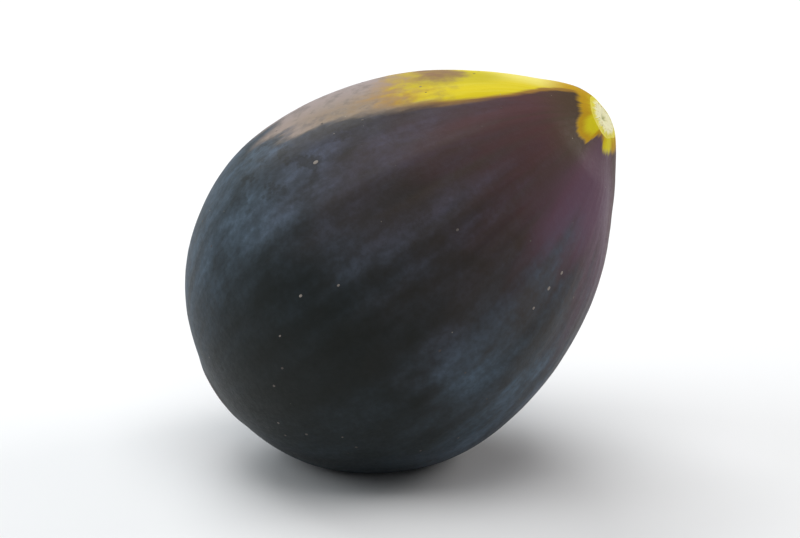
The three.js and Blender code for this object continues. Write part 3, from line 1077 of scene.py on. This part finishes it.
lenticel_places = []
lenticel_paleness = []
for speck in LARGE_LENTICELS:
    station = LENGTH - speck["from_cut"]
    lenticel_places.append(lenticel_place(station, speck["angle"], speck["half_length"]))
    lenticel_paleness.append(1.0)
lenticel_draw = random.Random(LENTICEL_SEED)
while len(lenticel_places) < LENTICEL_COUNT:
    sweep = lenticel_draw.uniform(swell_sweep, LENTICEL_LAST * last_sweep)
    degrees = lenticel_draw.uniform(0, 360)
    half_length = lenticel_draw.uniform(*LENTICEL_LONG)
    kept_share = lenticel_draw.random()
    station, radius, _, _ = outline(np.array(sweep))
    middle, axes = lenticel_place(float(station), degrees, half_length)
    if kept_share < float(radius) / BELLY_RADIUS and middle[2] > LENTICEL_CLEAR * MM:
        lenticel_places.append((middle, axes))
        lenticel_paleness.append(kept_share ** 2)

lenticels = grains("lenticels", lenticel_places)
grain_size = len(round_grain()[0])
store(lenticels, "paleness", "FLOAT", np.repeat(lenticel_paleness, grain_size))
lenticels.data.materials.append(lenticel_material())
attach(lenticels, "root")
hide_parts("fig")


# The surface that the fruit lies on. It is a plain pale table top, dull and smooth, and large
# enough that the camera doesn't see its edge.
FLOOR_HALF = 2.0
FLOOR_WHITE = colour(0.86, 0.86, 0.86)


def floor_material():
    material = bpy.data.materials.new("pale_floor")
    material.use_nodes = True
    shader = material.node_tree.nodes["Principled BSDF"]
    shader.inputs["Base Color"].default_value = FLOOR_WHITE
    shader.inputs["Roughness"].default_value = 0.7
    shader.inputs["Specular IOR Level"].default_value = 0.2
    return material


floor_mesh = bpy.data.meshes.new("floor")
corners = [(-1, -1), (1, -1), (1, 1), (-1, 1)]
floor_mesh.from_pydata([(x * FLOOR_HALF, y * FLOOR_HALF, 0) for x, y in corners], [], [(0, 1, 2, 3)])
floor_mesh.materials.append(floor_material())
floor = bpy.data.objects.new("floor", floor_mesh)
bpy.context.scene.collection.objects.link(floor)


# The light is a bright studio: large soft panels above and behind, and a dim room in front, so
# the wax glows along the upper side and the near side stays dark.
def panel(name, place, size, power, tint):
    light = bpy.data.lights.new(name, "AREA")
    light.shape = "SQUARE"
    light.size = size
    light.energy = power
    light.color = tint
    made = bpy.data.objects.new(name, light)
    bpy.context.scene.collection.objects.link(made)
    made.location = place
    aim = Vector((0, 0, 0.03)) - made.location
    made.rotation_euler = aim.to_track_quat("-Z", "Y").to_euler()


panel("back_panel", (-0.35, 0.75, 0.75), 0.8, 7.5, (0.95, 0.98, 1.0))
panel("left_panel", (-0.9, 0.0, 0.55), 0.6, 3.2, (0.92, 0.97, 1.0))
panel("right_panel", (0.85, 0.35, 0.45), 0.5, 3.5, (1.0, 0.96, 0.94))
panel("top_panel", (0.0, -0.15, 1.1), 0.9, 6.5, (1.0, 1.0, 1.0))

world = bpy.data.worlds.new("studio")
world.use_nodes = True
world.node_tree.nodes["Background"].inputs["Color"].default_value = colour(0.93, 0.96, 1.0)
world.node_tree.nodes["Background"].inputs["Strength"].default_value = 0.15
bpy.context.scene.world = world
bpy.context.scene.view_settings.view_transform = "Standard"


# The camera stands in front and a little above, as in the photograph, far enough away that the
# fruit is seen almost without perspective.
CAMERA_HEIGHT = math.radians(18)
CAMERA_DISTANCE = 0.60
CAMERA_LENS = 190
AIM = Vector((0.0, 0.0, 0.0275))

camera_data = bpy.data.cameras.new("camera")
camera_data.lens = CAMERA_LENS
camera = bpy.data.objects.new("camera", camera_data)
bpy.context.scene.collection.objects.link(camera)
away = Vector((0, -math.cos(CAMERA_HEIGHT), math.sin(CAMERA_HEIGHT)))
camera.location = AIM + away * CAMERA_DISTANCE
camera.rotation_euler = (-away).to_track_quat("-Z", "Y").to_euler()
bpy.context.scene.camera = camera


bpy.context.view_layer.update()
